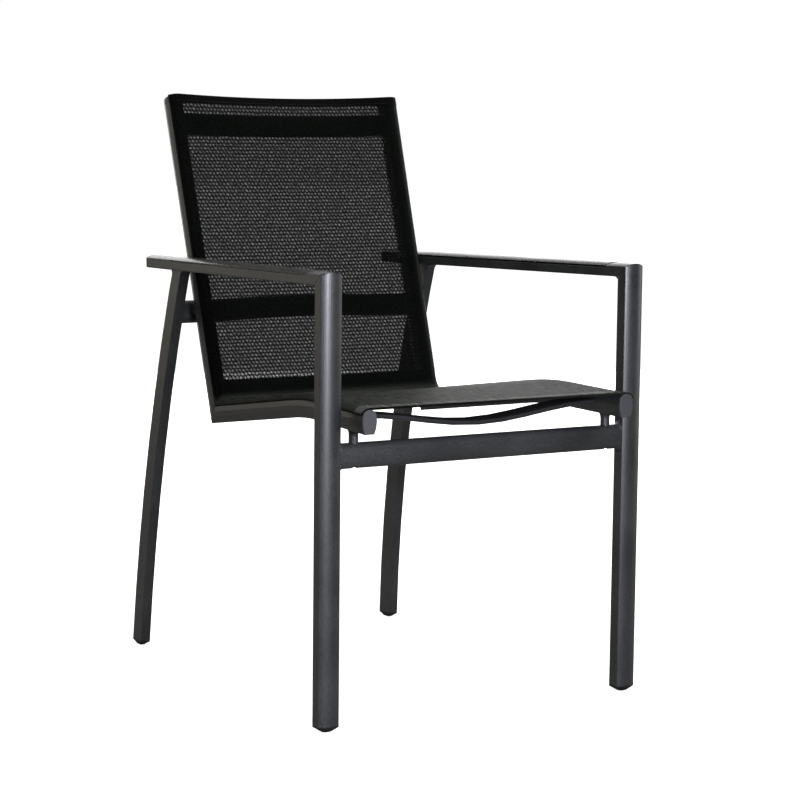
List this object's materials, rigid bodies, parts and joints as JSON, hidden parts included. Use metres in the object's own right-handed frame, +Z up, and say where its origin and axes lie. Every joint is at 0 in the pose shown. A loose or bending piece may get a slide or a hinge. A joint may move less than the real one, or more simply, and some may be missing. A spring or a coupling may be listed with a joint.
{
  "type": "sling patio armchair",
  "caption": "Rigid stacking armchair with a see-through woven sling stretched between arched extruded rails on a powder-coated tube frame.",
  "frame": {"origin": "on the floor, under the middle of the whole chair", "axes": "+X to the sitter's left, +Y from the seat's front to its back, +Z up"},
  "size_m": [0.5366, 0.7106, 0.8747],
  "materials": {
    "frame_coat": "aluminium with a fine textured powder coat, satin",
    "arm_strip": "aluminium with a fine textured powder coat, satin",
    "plug": "moulded, matte",
    "sling_weave": "open basket weave of coated yarn",
    "spline": "extruded",
    "bolt_steel": "zinc plated"
  },
  "bodies": {
    "root": {"front_leg_left": "frame_coat", "front_leg_right": "frame_coat", "rear_leg_left": "frame_coat", "rear_leg_right": "frame_coat", "arm_left": "frame_coat", "arm_right": "frame_coat", "arm_strip_left": "arm_strip", "arm_strip_right": "arm_strip", "arm_end_cap_left": "plug", "arm_end_cap_right": "plug", "front_glide_left": "plug", "front_glide_right": "plug", "rear_glide_left": "plug", "rear_glide_right": "plug", "front_rail": "frame_coat", "rear_rail": "frame_coat", "seat_rail_left": "frame_coat", "seat_rail_right": "frame_coat", "back_stile_left": "frame_coat", "back_stile_right": "frame_coat", "seat_rail_cap_left": "plug", "seat_rail_cap_right": "plug", "stile_cap_left": "plug", "stile_cap_right": "plug", "front_post_left": "frame_coat", "front_post_right": "frame_coat", "rear_post_left": "frame_coat", "rear_post_right": "frame_coat", "upper_back_spreader": "frame_coat", "lower_back_spreader": "frame_coat", "seat_spreader": "frame_coat", "sling": "sling_weave", "seat_spline_left": "spline", "seat_spline_right": "spline", "back_spline_left": "spline", "back_spline_right": "spline", "arm_spacer_left": "plug", "arm_spacer_right": "plug", "front_post_bolt_left": "bolt_steel", "front_post_bolt_right": "bolt_steel", "rear_post_bolt_left": "bolt_steel", "rear_post_bolt_right": "bolt_steel", "arm_bolt_left": "bolt_steel", "arm_bolt_right": "bolt_steel"}
  },
  "joints": []
}
